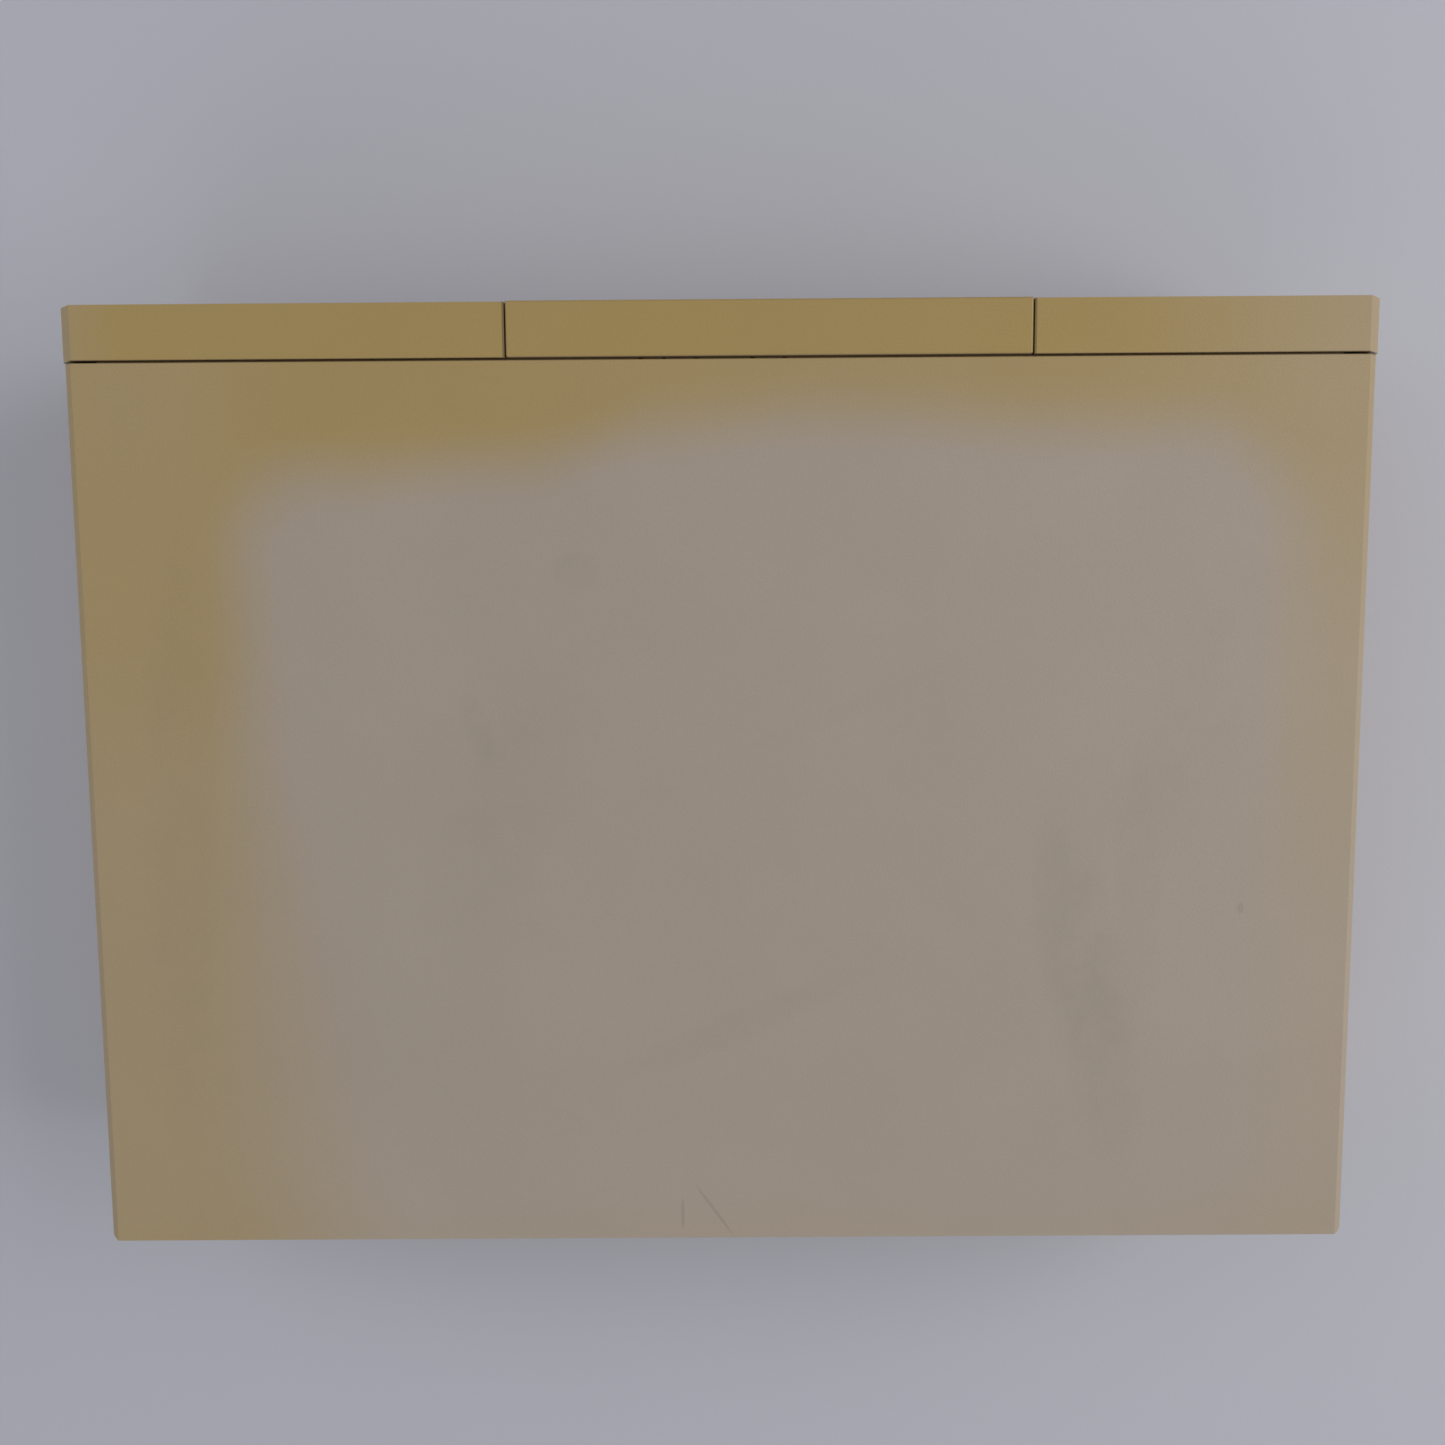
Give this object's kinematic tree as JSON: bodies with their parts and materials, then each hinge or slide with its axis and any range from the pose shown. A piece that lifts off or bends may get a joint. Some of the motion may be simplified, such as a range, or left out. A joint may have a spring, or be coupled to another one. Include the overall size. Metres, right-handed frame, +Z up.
{
  "type": "desktop computer",
  "caption": "Low flat desktop computer case on two side rails with a keyboard bay below, lift-off cover, pull-off front panel, disk drive, power supply, fan and circuit boards inside.",
  "frame": {"origin": "on the desk, under the middle of the overall box", "axes": "+Z up, the front bezel faces -Y, +X is the user's right, where the disk drive is"},
  "size_m": [0.45, 0.331, 0.108],
  "materials": {
    "yellowed_plastic": "fine-grained, aged yellow",
    "beige_plastic": "fine-grained beige, yellowed where light reached it",
    "rubber": "matt black",
    "dark_plastic": "satin dark grey",
    "zinc_sheet": "zinc-plated sheet steel",
    "bright_steel": "bright plated steel",
    "cast_alloy": "die-cast, matt",
    "transformer_iron": "laminated iron, varnished",
    "circuit_board": "green lacquer on glass fibre",
    "chip_plastic": "moulded epoxy",
    "cable_plastic": "grey vinyl",
    "red_lens": "red lens",
    "green_lens": "green lens"
  },
  "bodies": {
    "chassis": {"base_tray": "beige_plastic", "front_bezel": "yellowed_plastic", "foot_front_left": "rubber", "foot_front_right": "rubber", "foot_rear_left": "rubber", "foot_rear_right": "rubber", "case_screw_front_left": "zinc_sheet", "case_screw_front_right": "zinc_sheet", "case_screw_rear_left": "zinc_sheet", "case_screw_rear_right": "zinc_sheet", "power_light": "red_lens", "shield_pan": "zinc_sheet", "main_board": "circuit_board", "processor_chip": "chip_plastic", "display_chip": "chip_plastic", "audio_chip": "chip_plastic", "memory_control_chip": "chip_plastic", "system_rom_chip": "chip_plastic", "modulator_can": "zinc_sheet", "cartridge_socket": "beige_plastic", "memory_cartridge": "beige_plastic", "psu_tray": "zinc_sheet", "psu_lid": "zinc_sheet", "psu_board": "circuit_board", "psu_transformer": "transformer_iron", "psu_capacitor": "dark_plastic", "psu_heatsink": "cast_alloy", "fan_frame": "dark_plastic", "power_switch_body": "dark_plastic", "rear_panel": "zinc_sheet", "keyboard_jack": "dark_plastic", "parallel_port": "bright_steel", "disk_port": "bright_steel", "serial_port": "bright_steel", "audio_jacks": "dark_plastic", "video_jack": "dark_plastic", "monitor_port": "bright_steel", "mains_inlet": "dark_plastic", "controller_port_front": "bright_steel", "controller_port_rear": "bright_steel", "expansion_connector": "dark_plastic", "drive_bracket": "zinc_sheet", "drive_faceplate": "yellowed_plastic", "drive_chassis": "cast_alloy", "drive_top_plate": "zinc_sheet", "drive_board": "circuit_board", "stepper_motor": "zinc_sheet", "drive_light": "green_lens", "drive_ribbon": "cable_plastic", "power_harness": "cable_plastic"},
    "cover": {"top_cover": "beige_plastic"},
    "panel": {"centre_panel": "yellowed_plastic"},
    "slot_cover": {"expansion_cover": "beige_plastic"},
    "rocker": {"power_rocker": "dark_plastic"},
    "eject_key": {"eject_button": "yellowed_plastic"},
    "flap": {"disk_flap": "dark_plastic"},
    "spindle": {"spindle_rotor": "bright_steel"},
    "heads": {"head_carriage": "dark_plastic"},
    "screw": {"lead_screw": "bright_steel"},
    "fan": {"fan_rotor": "dark_plastic"}
  },
  "joints": [
    {"name": "cover_lift", "type": "slide", "parent": "chassis", "child": "cover", "axis": [0, 0, 1], "range_m": [0, 0.14]},
    {"name": "centre_panel_pull", "type": "slide", "parent": "chassis", "child": "panel", "axis": [0, -1, 0], "range_m": [0, 0.04]},
    {"name": "expansion_cover_pull", "type": "slide", "parent": "chassis", "child": "slot_cover", "axis": [1, 0, 0], "range_m": [0, 0.03]},
    {"name": "power_rocker_tilt", "type": "hinge", "parent": "chassis", "child": "rocker", "pos_m": [-0.22147, -0.09975, 0.0445], "axis": [0, 0, 1], "range_deg": [0, 14]},
    {"name": "eject_press", "type": "slide", "parent": "chassis", "child": "eject_key", "axis": [0, 1, 0], "range_m": [0, 0.0045], "stiffness_N_per_m": 150, "springref_m": -0.002},
    {"name": "disk_flap_swing", "type": "hinge", "parent": "chassis", "child": "flap", "pos_m": [0.14888, -0.15365, 0.0792], "axis": [1, 0, 0], "range_deg": [0, 80], "stiffness_Nm_per_rad": 0.002, "springref_deg": -17.19},
    {"name": "spindle_spin", "type": "hinge", "parent": "chassis", "child": "spindle", "pos_m": [0.14888, -0.10805, 0.0611], "axis": [0, 0, 1], "continuous": true},
    {"name": "head_slide", "type": "slide", "parent": "chassis", "child": "heads", "axis": [0, -1, 0], "range_m": [0, 0.015]},
    {"name": "lead_screw_turn", "type": "hinge", "parent": "chassis", "child": "screw", "pos_m": [0.17087, -0.05005, 0.0695], "axis": [0, 1, 0], "range_deg": [0, 900]},
    {"name": "fan_spin", "type": "hinge", "parent": "chassis", "child": "fan", "pos_m": [-0.1665, 0.1482, 0.0626], "axis": [0, 1, 0], "continuous": true}
  ],
  "couplings": [
    {"joint": "lead_screw_turn", "follows": "head_slide", "rad_per_m": 1047.2}
  ]
}
